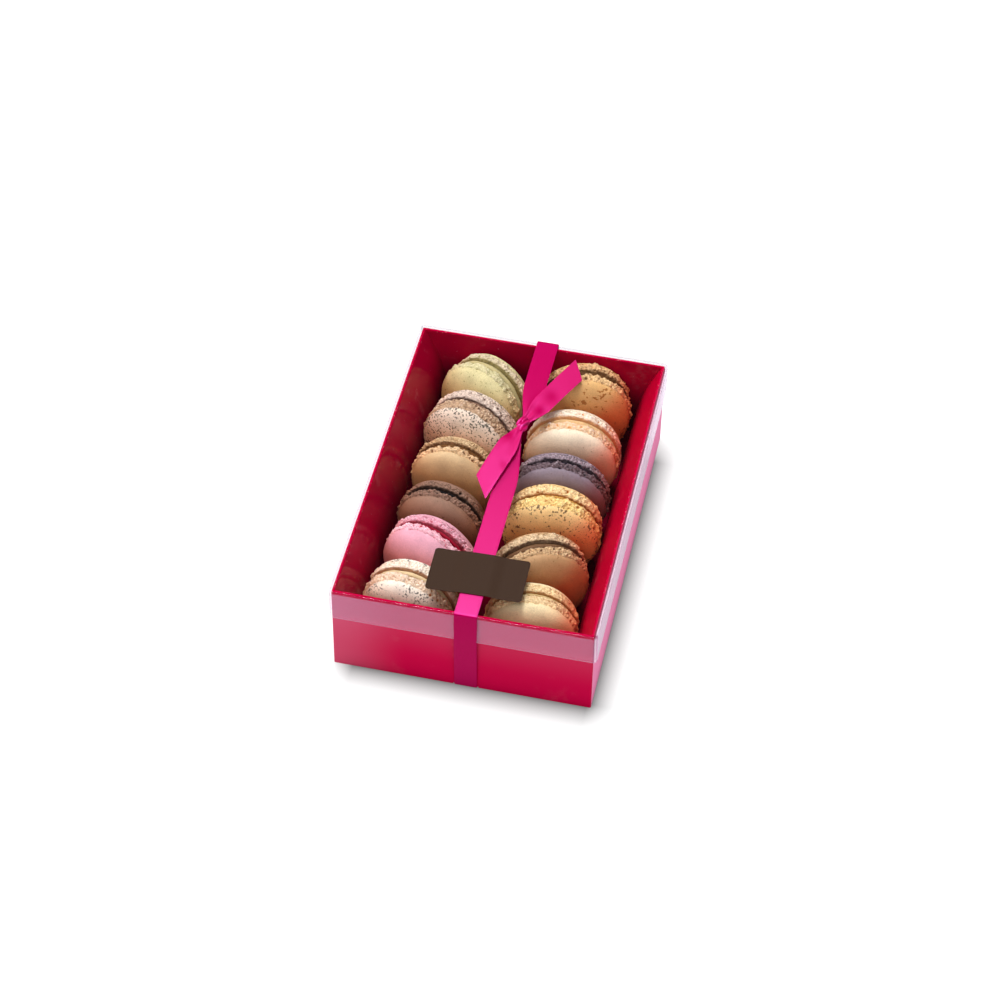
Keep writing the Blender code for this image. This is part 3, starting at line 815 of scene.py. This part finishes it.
def satin():
    """Polyester satin, warp threads floating on the face. It glows along the threads and darkens across
    them, and its gloss keeps the dye's colour. Where the gloss mark is high the dye is painted lighter and
    more of the glow is mixed in: a painted highlight."""
    made, tree = new_material("satin")
    along, across, gloss = [
        add_node(tree, "Attribute", out="Fac", attribute_name=mark) for mark in ("along", "across", "gloss")
    ]
    place = add_node(tree, "CombineXYZ", links={"X": across, "Y": along})
    # Threads are 0.1 mm apart. They are drawn 0.35 mm apart and 4 mm long, so that they show.
    stretched = add_node(tree, "Mapping", {"Scale": (2800, 260, 1)}, {"Vector": place})
    threads = add_node(tree, "TexNoise", {"Scale": 1.0, "Detail": 2}, {"Vector": stretched})
    dye_before_painted_highlight = add_node(tree, "Mix", {6: linear("#980041"), 7: linear("#A6004A")}, {0: threads}, **COLOURS)
    # Painted highlight: the dye turns lighter where the gloss mark is high
    colour = add_node(tree, "Mix", {7: linear("#B80050")}, {0: gloss, 6: dye_before_painted_highlight}, **COLOURS)
    bump = add_node(tree, "Bump", {"Strength": 0.25, "Distance": 0.00008}, {"Height": threads})
    weave = {"Roughness": 0.45, "IOR": 1.4, "Specular IOR Level": 0.08, "Specular Tint": linear("#E000C0")}
    shader = add_node(tree, "BsdfPrincipled", weave, {"Base Color": colour, "Normal": bump})
    glow = {"Color": linear("#F070D8"), "Roughness": 0.42}
    floats = add_node(tree, "BsdfAnisotropic", glow, {"Normal": bump})
    # The glow is mixed in by the gloss mark too, as a painted highlight
    glossed = add_node(tree, "Math", {1: 0.16}, {0: gloss}, operation="MULTIPLY")
    return surfaced(made, add_node(tree, "MixShader", links={0: glossed, 1: shader, 2: floats}))


# Label


def label_lift(x):
    """Height of the label's underside above the lid, where it climbs over the ribbon."""
    beside = abs(x - RIBBON_X) - RIBBON_WIDTH / 2 - GAP
    return GAP + (RIBBON_SOLID + GAP) * (1 - ease(beside / LABEL_SLOPE))


def label_half_length(x):
    """Half the label's length at x from its middle, less near the ends for its round corners."""
    into_corner = abs(x) - (LABEL_WIDTH / 2 - LABEL_CORNER)
    if into_corner <= 0:
        return LABEL_LENGTH / 2
    return LABEL_LENGTH / 2 - LABEL_CORNER + math.sqrt(max(0.0, LABEL_CORNER**2 - into_corner**2))


def label_section(half, low):
    """Outline of the label cut across, with its cut edges softened: (y, z) pairs."""
    top = low + LABEL_THICK
    soft = LABEL_EDGE
    near = ((half - soft, low), (half, low + soft), (half, top - soft), (half - soft, top))
    return near + tuple((-y, z) for y, z in reversed(near))


def make_label():
    """Dark card sticker laid over the ribbon near the front edge of the lid."""
    corner_steps, run_steps = 8, 70
    quarter = math.pi / 2 / corner_steps
    ends = [LABEL_CORNER * (1 - math.cos(quarter * (step + 0.3))) for step in range(corner_steps)]
    inner = LABEL_WIDTH / 2 - LABEL_CORNER
    places = [-LABEL_WIDTH / 2 + end for end in ends] + [LABEL_WIDTH / 2 - end for end in ends]
    places += [inner * (2 * step / run_steps - 1) for step in range(run_steps + 1)]
    turn = Matrix.Rotation(LABEL_TURN, 3, "Z")
    middle = Vector((LABEL_CENTRE[0], LABEL_CENTRE[1], LID_TOP))
    rows = []
    for x in sorted(places):
        section = label_section(label_half_length(x), label_lift(x + LABEL_CENTRE[0]))
        rows.append([middle + turn @ Vector((x, y, z)) for y, z in section])
    add_piece("plain_label", skin("plain_label", rows), [label_card()], "label")


def label_card():
    """Card sticker with a matt laminate over dark brown ink: a soft, even sheen and a faint paper tooth."""
    made, tree = new_material("label_card")
    place = add_node(tree, "TexCoord", out="Object")
    tooth = add_node(tree, "TexNoise", {"Scale": 2500, "Detail": 3}, {"Vector": place})
    ink = add_node(tree, "Mix", {6: linear("#302017"), 7: linear("#36251A")}, {0: tooth}, **COLOURS)
    bump = add_node(tree, "Bump", {"Strength": 0.15, "Distance": 0.00004}, {"Height": tooth})
    laminate = {"Roughness": 0.5, "IOR": 1.4, "Specular IOR Level": 0.12}
    return surfaced(made, add_node(tree, "BsdfPrincipled", laminate, {"Base Color": ink, "Normal": bump}))


# Macarons

Row = namedtuple("Row", "reach height out up craggy footed notched gaped")

# Rows in the notch between foot and dome: how far in from the widest, how far above the foot, and the rest
NOTCH_ROWS = (
    (1.35 * MM, -0.05 * MM, 0.8, 1.0),
    (1.2 * MM, 0.05 * MM, 0.5, 0.8),
    (0.75 * MM, 0.1 * MM, 0.25, 0.2),
)


def foot_set_back(share):
    """How far a foot's side stands in from its widest, at a share of its height."""
    low = 0.4 * MM * max(0.0, 1 - share / 0.3) ** 2
    high = 0.8 * MM * max(0.0, (share - 0.6) / 0.4) ** 2.2
    return low + high


def shell_profile(radius, foot, dome):
    """Rows of one shell from the middle of its flat side, up the frilled foot, to the top of the dome.

    out and up are the way its surface faces, craggy how much of the foot's froth a row takes, footed how
    much of its colour, notched how much it shares the wander of the notch under the dome, and gaped how much
    it shares the tilt of the inner edge."""
    flat_side = [(radius * share, 0.0) for share in (0, 0.4, 0.75, 0.84)]
    flat_side += [(radius - edge * MM, 0.8 - edge / 4) for edge in (2.6, 2.0, 1.5, 1.0)]
    rows = [Row(reach, 0.0, 0, -1, craggy, 1.0, 0.0, 1.0) for reach, craggy in flat_side]
    rows.append(Row(radius - 0.65 * MM, 0.02 * MM, 0.5, -0.85, 0.8, 1.0, 0.0, 1.0))
    for step in range(FOOT_ROWS):
        share = (step + 0.4) / FOOT_ROWS
        facing_in = max(0.0, 1 - share / 0.2)
        out, up = 1 - 0.4 * facing_in, -0.7 * facing_in
        rows.append(Row(radius - foot_set_back(share), foot * share, out, up, 1.0, 1.0, share**2, 1 - share))
    for set_in, rise, craggy, footed in NOTCH_ROWS:
        rows.append(Row(radius - set_in, foot + rise, 1, 0, craggy, footed, 1.0, 0.0))
    top = radius - DOME_SET_BACK
    for step in range(1, DOME_ROWS):
        tilt = math.pi / 2 * step / DOME_ROWS
        reach = top * math.cos(tilt) ** (2 / DOME_POWER)
        height = foot + dome * math.sin(tilt) ** (2 / DOME_POWER)
        rows.append(Row(reach, height, 1, 0, 0.0, 0.0, max(0.0, 1 - step / 3) ** 2, 0.0))
    rows.append(Row(0.0, foot + dome, 0, 1, 0.0, 0.0, 0.0, 0.0))
    return rows


def torn_hole(place, cell, width, odds):
    """How deep inside a hole a place lies, 0 to 1, where the share odds of the cells hold one."""
    distances, points = noise.voronoi(place / cell)
    lot = noise.cell(points[0] * 3.7 + Vector((5.0, 9.0, 2.0)))
    return max(0.0, 1 - distances[0] / width) if lot < odds * 2 - 1 else 0.0


def froth(place, crags):
    """Baked froth of a foot: (how far it stands out, how deep in a hole or crease, how far on a crest).
    The last two are for painted shade in pits and creases and a painted highlight on crests.
    """
    distances, _ = noise.voronoi(place / BUBBLE)
    bubble = 0.5 - distances[0]
    crease = max(0.0, 1 - (distances[1] - distances[0]) / 0.2)
    torn = torn_hole(place, TORN_CELL, 0.34, 0.4)
    pit = torn_hole(place + Vector((0.01, 0.02, 0.03)), PIT_CELL, 0.42, 0.3)
    lump = noise.noise(place / LUMP)
    out = lump * LUMP_RISE + bubble * BUBBLE_RISE
    out -= crease * CREASE_DEPTH + torn * TORN_DEPTH + pit * PIT_DEPTH
    crest = max(0.0, min(1.0, 2.6 * (bubble - 0.12) + 0.9 * lump - 2 * torn))
    return out * crags, min(1.0, 0.5 * crease + 1.6 * torn + 1.2 * pit), crest


def down_in_box(z):
    """0 to 1 down between the macarons, where light arrives only off their warm sides and the red card."""
    return min(1.0, max(0.0, (TRAY_HEIGHT - BOUNCE_START - z) / BOUNCE_RUN))


def make_shell(name, spec, foot, dome, seed, up, opening, behind):
    """One baked shell as a local mesh, its flat side at z = 0 and its dome towards +Z. Its points are
    bunched towards up, the side that shows, its gap is widest towards opening, and behind is 1 for a back
    shell."""
    radius = spec.across / 2 * MM
    shift = Vector((seed * 0.37, seed * 0.71, seed * 0.53))
    shares = [2 * side / SEGMENTS - 1 for side in range(SEGMENTS)]
    turns = [up + math.pi * share - BUNCHING * math.sin(math.pi * share) for share in shares]
    ways = [Vector((math.cos(turn), math.sin(turn), 0)) for turn in turns]
    wander = [WANDER * (noise.noise(way * 1.4 + shift) - 0.3) for way in ways]
    notch = [NOTCH_WANDER * noise.fractal(way * radius / NOTCH_RUN + shift, 0.7, 2.2, 3) for way in ways]
    gape = [spec.gape * MM * math.cos(turn - opening) for turn in turns]
    rows = []
    marks = []
    painted_red_bounce = PAINTED_RED_BOUNCE if spec.place.startswith("right") else 0.0
    for row in shell_profile(radius, foot, dome):
        from_rim = radius - DOME_SET_BACK - row.reach
        near_rim = max(0.0, 1 - from_rim / EDGE_BAND) if row.height > foot else 0.0
        loop = []
        for way, stray, drift, gaping in zip(ways, wander, notch, gape):
            place = way * row.reach + Vector((0, 0, row.height))
            hole = crest = 0.0
            stray *= min(1.0, row.reach / radius)
            if row.craggy:
                frothed, hole, crest = froth(place + shift, spec.crags)
                ruffle = noise.noise(place / RUFFLE_RUN + shift) * RUFFLE
                swell = (frothed + ruffle) * row.craggy
            else:
                swell = 0.1 * MM * noise.noise(place / (7 * MM) + shift)
            place += way * (stray + swell * row.out)
            place.z += swell * row.up + drift * row.notched + gaping * row.gaped
            loop.append(place)
            # Painted shade in the foot's pits and creases and on its inner side towards the filling, and a
            # painted highlight on its crests
            painted_hole_shade_share = max(hole * row.craggy, -0.85 * row.up)
            crested = crest * row.craggy * row.footed
            # Painted red bounce light on the side that faces the red card
            red_bounce_share = painted_red_bounce * ease((way.x - 0.5) / 0.5)
            marks.append((row.footed, painted_hole_shade_share, crested, near_rim, behind, red_bounce_share))
            if row.reach == 0.0:
                break
        rows.append(loop)
    mesh = skin(name, rows)
    paint(mesh, ("footed", "holes", "crests", "rim", "behind", "painted_red_bounce"), marks)
    return mesh


def make_filling(name, radius, thick, seed):
    """The soft layer between two shells, its edge pressed out and slightly uneven."""
    shift = Vector((seed * 0.91, seed * 0.17, seed * 0.43))
    half = thick / 2
    rows = [[Vector((0, 0, -half))]]
    profile = [(radius * 0.5, -half), (radius - 0.8 * half, -half)]
    profile += [
        (radius - half * (1 - math.cos(tilt)), half * math.sin(tilt))
        for tilt in [math.radians(angle) for angle in range(-75, 76, 15)]
    ]
    profile += [(radius - 0.8 * half, half), (radius * 0.5, half)]
    for reach, height in profile:
        row = []
        for side in range(FILLING_SEGMENTS):
            turn = 2 * math.pi * side / FILLING_SEGMENTS
            way = Vector((math.cos(turn), math.sin(turn), 0))
            place = way * reach + Vector((0, 0, height))
            uneven = 0.35 * MM * noise.noise(way * 3 + shift)
            uneven += 0.12 * MM * noise.noise(place / (1.2 * MM) + shift)
            row.append(way * (reach + uneven * reach / radius) + Vector((0, 0, height)))
        rows.append(row)
    rows.append([Vector((0, 0, half))])
    return skin(name, rows)


def almond_shell(place, bake):
    """Baked almond meringue: a dull, fine-grained skin, a crumbly foot with painted shade in its pits and
    creases and a painted highlight on its crests, nut specks, and painted warm bounce light.
    """
    made, tree = new_material("almond_shell_" + place)
    offset = (len(place) * 0.013, sum(map(ord, place)) * 0.0017, 0.0)
    coords = add_node(tree, "TexCoord", out="Object")
    where = {"Vector": add_node(tree, "Mapping", {"Location": offset}, {"Vector": coords})}
    marks = ("rim", "footed", "holes", "crests", "behind", "deep", "painted_red_bounce")
    rim, footed, holes, crests, behind, deep, painted_red_bounce = [
        add_node(tree, "Attribute", out="Fac", attribute_name=mark) for mark in marks
    ]
    # The oven colours the skin unevenly over about a centimetre.
    oven = add_node(tree, "TexNoise", {"Scale": 110, "Detail": 3}, where)
    baked = add_node(tree, "MapRange", {"From Min": 0.4, "From Max": 0.75}, {"Value": oven})
    skins = {6: linear(bake.skin), 7: linear(bake.skin, 0.82)}
    top = add_node(tree, "Mix", skins, {0: baked}, **COLOURS)
    # Ground nut specks of 0.3 to 1 mm, strewn in clumps, thicker along the rim of some skins.
    flecks = add_node(tree, "TexNoise", {"Scale": 1000 / bake.grind, "Detail": 2}, where)
    clumps = add_node(tree, "TexNoise", {"Scale": 190, "Detail": 1}, where)
    thickly = {1: 0.55 * bake.clumps, 2: -0.275 * bake.clumps + 0.1 * bake.specks}
    clumped = add_node(tree, "Math", thickly, {0: clumps}, operation="MULTIPLY_ADD")
    rimmed = add_node(tree, "Math", {1: 0.12 * bake.rim}, {0: rim, 2: clumped}, operation="MULTIPLY_ADD")
    strewn = add_node(tree, "Math", links={0: flecks, 1: rimmed}, operation="ADD")
    sharply = {"From Min": 0.67, "From Max": 0.72, "To Max": 0.85}
    speck = add_node(tree, "MapRange", sharply, {"Value": strewn})
    spared = add_node(tree, "Math", {1: -0.95, 2: 1.0}, {0: footed}, operation="MULTIPLY_ADD")
    on_top = add_node(tree, "Math", links={0: speck, 1: spared}, operation="MULTIPLY")
    # The foot's crumb: burst bubbles of half a millimetre with painted shade inside, between crests that
    # take a painted highlight.
    crumb = add_node(tree, "TexNoise", {"Scale": 950, "Detail": 3}, where)
    foot_crumb = add_node(tree, "Math", links={0: crumb, 1: footed}, operation="MULTIPLY")
    burst = add_node(tree, "MapRange", {"From Min": 0.42, "From Max": 0.32, "To Max": 0.4}, {"Value": crumb})
    open_crumb = add_node(tree, "Math", links={0: burst, 1: footed}, operation="MULTIPLY")
    painted_crumb_shade = add_node(tree, "Math", links={0: open_crumb, 1: holes}, operation="MAXIMUM")
    painted_crest_highlight = add_node(tree, "Math", {1: 0.4}, {0: crests}, operation="MULTIPLY")
    crest_highlight_tone = [min(1.0, 1.25 * c + 0.02) for c in linear(bake.behind)]
    feet = {6: linear(bake.foot), 7: linear(bake.behind)}
    foot = add_node(tree, "Mix", feet, {0: behind}, **COLOURS)
    colour = add_node(tree, "Mix", links={0: footed, 6: top, 7: foot}, **COLOURS)
    for tone, cover in ((linear(bake.holes), painted_crumb_shade), (crest_highlight_tone, painted_crest_highlight), (linear(bake.speck), on_top)):
        colour = add_node(tree, "Mix", {7: tone}, {0: cover, 6: colour}, **COLOURS)
    # Almond flour is ground to about 0.4 mm. It is drawn at 0.6 mm, so that it shows.
    flour = add_node(tree, "TexNoise", {"Scale": 1600, "Detail": 4}, where)
    mottle = {"From Min": 0.3, "From Max": 0.7, "To Min": 0.9, "To Max": 1.1}
    grain = add_node(tree, "MapRange", mottle, {"Value": flour})
    grained = add_node(tree, "VectorMath", links={0: colour, 1: grain}, operation="MULTIPLY")
    # Light that has bounced between the shells is warm, and so is what the red card throws on the right row.
    warmths = {6: linear("#FFFFFF"), 7: linear("#F7CEB3")}
    bounced = add_node(tree, "Mix", warmths, {0: deep}, **COLOURS)
    red_bounce_tinted = add_node(tree, "Mix", {7: linear("#FF9080")}, {0: painted_red_bounce, 6: bounced}, **COLOURS)
    warm = add_node(tree, "VectorMath", links={0: grained, 1: red_bounce_tinted}, operation="MULTIPLY")
    crumbly = add_node(tree, "Bump", {"Strength": 1.0, "Distance": 0.0005}, {"Height": foot_crumb})
    floury = {"Strength": 0.6, "Distance": 0.00016}
    bump = add_node(tree, "Bump", floury, {"Height": flour, "Normal": crumbly})
    meringue = {"Roughness": 0.62, "IOR": 1.42}
    return surfaced(made, add_node(tree, "BsdfPrincipled", meringue, {"Base Color": warm, "Normal": bump}))


def filling_cream(place, bake):
    """Whipped ganache, jam or caramel: soft, a little moist, and slightly streaked."""
    made, tree = new_material("filling_cream_" + place)
    coords = add_node(tree, "TexCoord", out="Object")
    streaks = add_node(tree, "TexNoise", {"Scale": 700, "Detail": 3}, {"Vector": coords})
    creams = {6: linear(bake.cream, 0.72), 7: linear(bake.cream)}
    colour = add_node(tree, "Mix", creams, {0: streaks}, **COLOURS)
    bump = add_node(tree, "Bump", {"Strength": 0.4, "Distance": 0.0002}, {"Height": streaks})
    moist = {"Roughness": 0.6, "IOR": 1.46, "Specular IOR Level": 0.2}
    return surfaced(made, add_node(tree, "BsdfPrincipled", moist, {"Base Color": colour, "Normal": bump}))


def facing(turn, lean):
    """Rotation that takes a disc's own +Z to the way the macaron faces."""
    swing = Matrix.Rotation(math.radians(turn), 4, "Z")
    tip_back = Matrix.Rotation(math.radians(-lean), 4, "X")
    return swing @ tip_back @ Matrix.Rotation(math.radians(90), 4, "X")


def make_macaron(number, spec):
    """Front shell, filling and back shell, stood where the solids of this macaron stand."""
    node = f"macaron_{spec.place}_"
    low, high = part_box(node + "filling")
    middle = (Vector(low) + Vector(high)) / 2
    stand = Matrix.Translation(middle) @ facing(spec.turn, spec.lean)
    foot, gap = spec.foot * MM, spec.filling * MM
    bake = BAKES[spec.place]
    almond = [almond_shell(spec.place, bake)]
    for behind, (part, dome) in enumerate((("front_shell", spec.dome), ("back_shell", spec.back))):
        placed = stand @ Matrix.Rotation(math.pi * behind, 4, "X") @ Matrix.Translation((0, 0, gap / 2))
        flip = -1 if behind else 1
        up, opening = flip * math.pi / 2, flip * math.radians(spec.angle)
        seed = FIRST_SEED + number + BACK_SEED * behind
        mesh = make_shell(node + part, spec, foot, dome * MM, seed, up, opening, behind)
        piece = add_piece("baked_" + node + part, mesh, almond, node + part, 60)
        piece.matrix_world = placed
        paint(mesh, ["deep"], [[down_in_box((placed @ vertex.co).z)] for vertex in mesh.vertices])
    reach = spec.across / 2 * MM - FILLING_SET_BACK
    mesh = make_filling(node + "filling", reach, gap - 2 * GAP, number)
    cream = [filling_cream(spec.place, bake)]
    piece = add_piece("soft_" + node + "filling", mesh, cream, node + "filling", 60)
    piece.matrix_world = stand


# Studio

EYE = Vector((0.18027, -0.87672, 0.9852))
VIEW_RIGHT = Vector((0.9763, 0.2161, 0.0122))
VIEW_UP = Vector((-0.1658, 0.7105, 0.6839))
LENS = 104.15
SENSOR = 36
FLOOR_REACH = 3.0

# The box's painted shadow on the table: its middle, how far it is full either side of that,
# and where it has gone
SHADE_ACROSS = (3.3 * MM, 52.7 * MM, 70 * MM)
SHADE_ALONG = (-7.4 * MM, 75.7 * MM, 96.9 * MM)

# Square soft lights, aimed at the box
Light = namedtuple("Light", "name place size power")
LIGHTS = (
    Light("key", (-0.25, 0.3, 2.15), 0.9, 41),
    Light("fill", (0.0, -1.5, 1.5), 1.4, 20),
    Light("side", (-1.4, 0.1, 1.3), 0.6, 17),
    Light("back", (-0.3, 0.65, 2.2), 0.7, 10),
)


def make_camera():
    """Stands the camera where the photograph was taken from."""
    data = bpy.data.cameras.new("camera")
    data.lens = LENS
    data.sensor_width = SENSOR
    data.clip_end = 10
    camera = add_object("camera", data)
    back = VIEW_RIGHT.cross(VIEW_UP)
    turned = Matrix((VIEW_RIGHT, VIEW_UP, back)).transposed().to_4x4()
    camera.matrix_world = Matrix.Translation(EYE) @ turned
    bpy.context.scene.camera = camera


def add_light(spec):
    """Hangs one of the lights at its place and turns it to the box."""
    data = bpy.data.lights.new(spec.name, "AREA")
    data.size = spec.size
    data.energy = spec.power
    turned = Vector(spec.place).to_track_quat("Z", "Y").to_matrix().to_4x4()
    add_object(spec.name, data).matrix_world = Matrix.Translation(spec.place) @ turned


def span_shade(tree, along, middle, full, clear):
    """1 as far as full either side of the middle, falling to 0 at clear."""
    off = add_node(tree, "Math", {1: -middle}, {0: along}, operation="ADD")
    apart = add_node(tree, "Math", links={0: off}, operation="ABSOLUTE")
    falling = {"From Min": full, "From Max": clear, "To Min": 1.0, "To Max": 0.0}
    return add_node(tree, "MapRange", falling, {"Value": apart})


def opal_table():
    """A table of opal plastic lit from below. The box's shadow is painted on it by place, a little further
    to the front and the right: its glow and its grey are lowered there."""
    made, tree = new_material("opal_table")
    place = add_node(tree, "TexCoord", out="Object")
    parts = add_node(tree, "SeparateXYZ", links={0: place}).node.outputs
    sideways = span_shade(tree, parts["X"], *SHADE_ACROSS)
    lengthways = span_shade(tree, parts["Y"], *SHADE_ALONG)
    # Painted shadow of the box, drawn by place
    both = add_node(tree, "Math", links={0: sideways, 1: lengthways}, operation="MULTIPLY")
    painted_shade = add_node(tree, "Math", {1: 2.0}, {0: both}, operation="POWER")
    glow = add_node(tree, "Math", {1: -0.83, 2: 0.85}, {0: painted_shade}, operation="MULTIPLY_ADD")
    grey = add_node(tree, "Mix", {6: linear("#8C8E8E"), 7: linear("#383A3A")}, {0: painted_shade}, **COLOURS)
    plastic = {"Roughness": 0.9, "Specular IOR Level": 0.1, "Emission Color": linear("#FFFFFF")}
    lit = {"Base Color": grey, "Emission Strength": glow}
    return surfaced(made, add_node(tree, "BsdfPrincipled", plastic, lit))


def make_floor():
    """The opal table's top, wide enough to fill the view."""
    mesh = bpy.data.meshes.new("floor")
    corners = [(x * FLOOR_REACH, y * FLOOR_REACH, 0) for x, y in ((-1, -1), (1, -1), (1, 1), (-1, 1))]
    mesh.from_pydata(corners, [], [(0, 1, 2, 3)])
    mesh.materials.append(opal_table())
    add_object("floor", mesh)


def make_cyclorama():
    """A pale backdrop all round, whose upper half is dark, so that the film mirrors little of it."""
    world = bpy.data.worlds.new("cyclorama")
    world.use_nodes = True
    tree = world.node_tree
    tree.nodes.clear()
    way = add_node(tree, "TexCoord", out="Generated")
    height = add_node(tree, "SeparateXYZ", links={0: way}, out="Z")
    fading = {"From Min": 0.3, "From Max": 0.6, "To Min": 0.6, "To Max": 0.05}
    brightness = add_node(tree, "MapRange", fading, {"Value": height}, **SMOOTH)
    sky = add_node(tree, "Background", {"Color": linear("#FFFFFF")}, {"Strength": brightness})
    tree.links.new(sky, tree.nodes.new("ShaderNodeOutputWorld").inputs["Surface"])
    bpy.context.scene.world = world


def main():
    """The studio, the box and all that lies in and on it."""
    make_camera()
    make_floor()
    make_cyclorama()
    for spec in LIGHTS:
        add_light(spec)
    bpy.context.scene.view_settings.view_transform = "Standard"
    make_tray()
    for number, spec in enumerate(MACARONS):
        make_macaron(number, spec)
    make_lid()
    make_ribbon()
    make_label()


main()
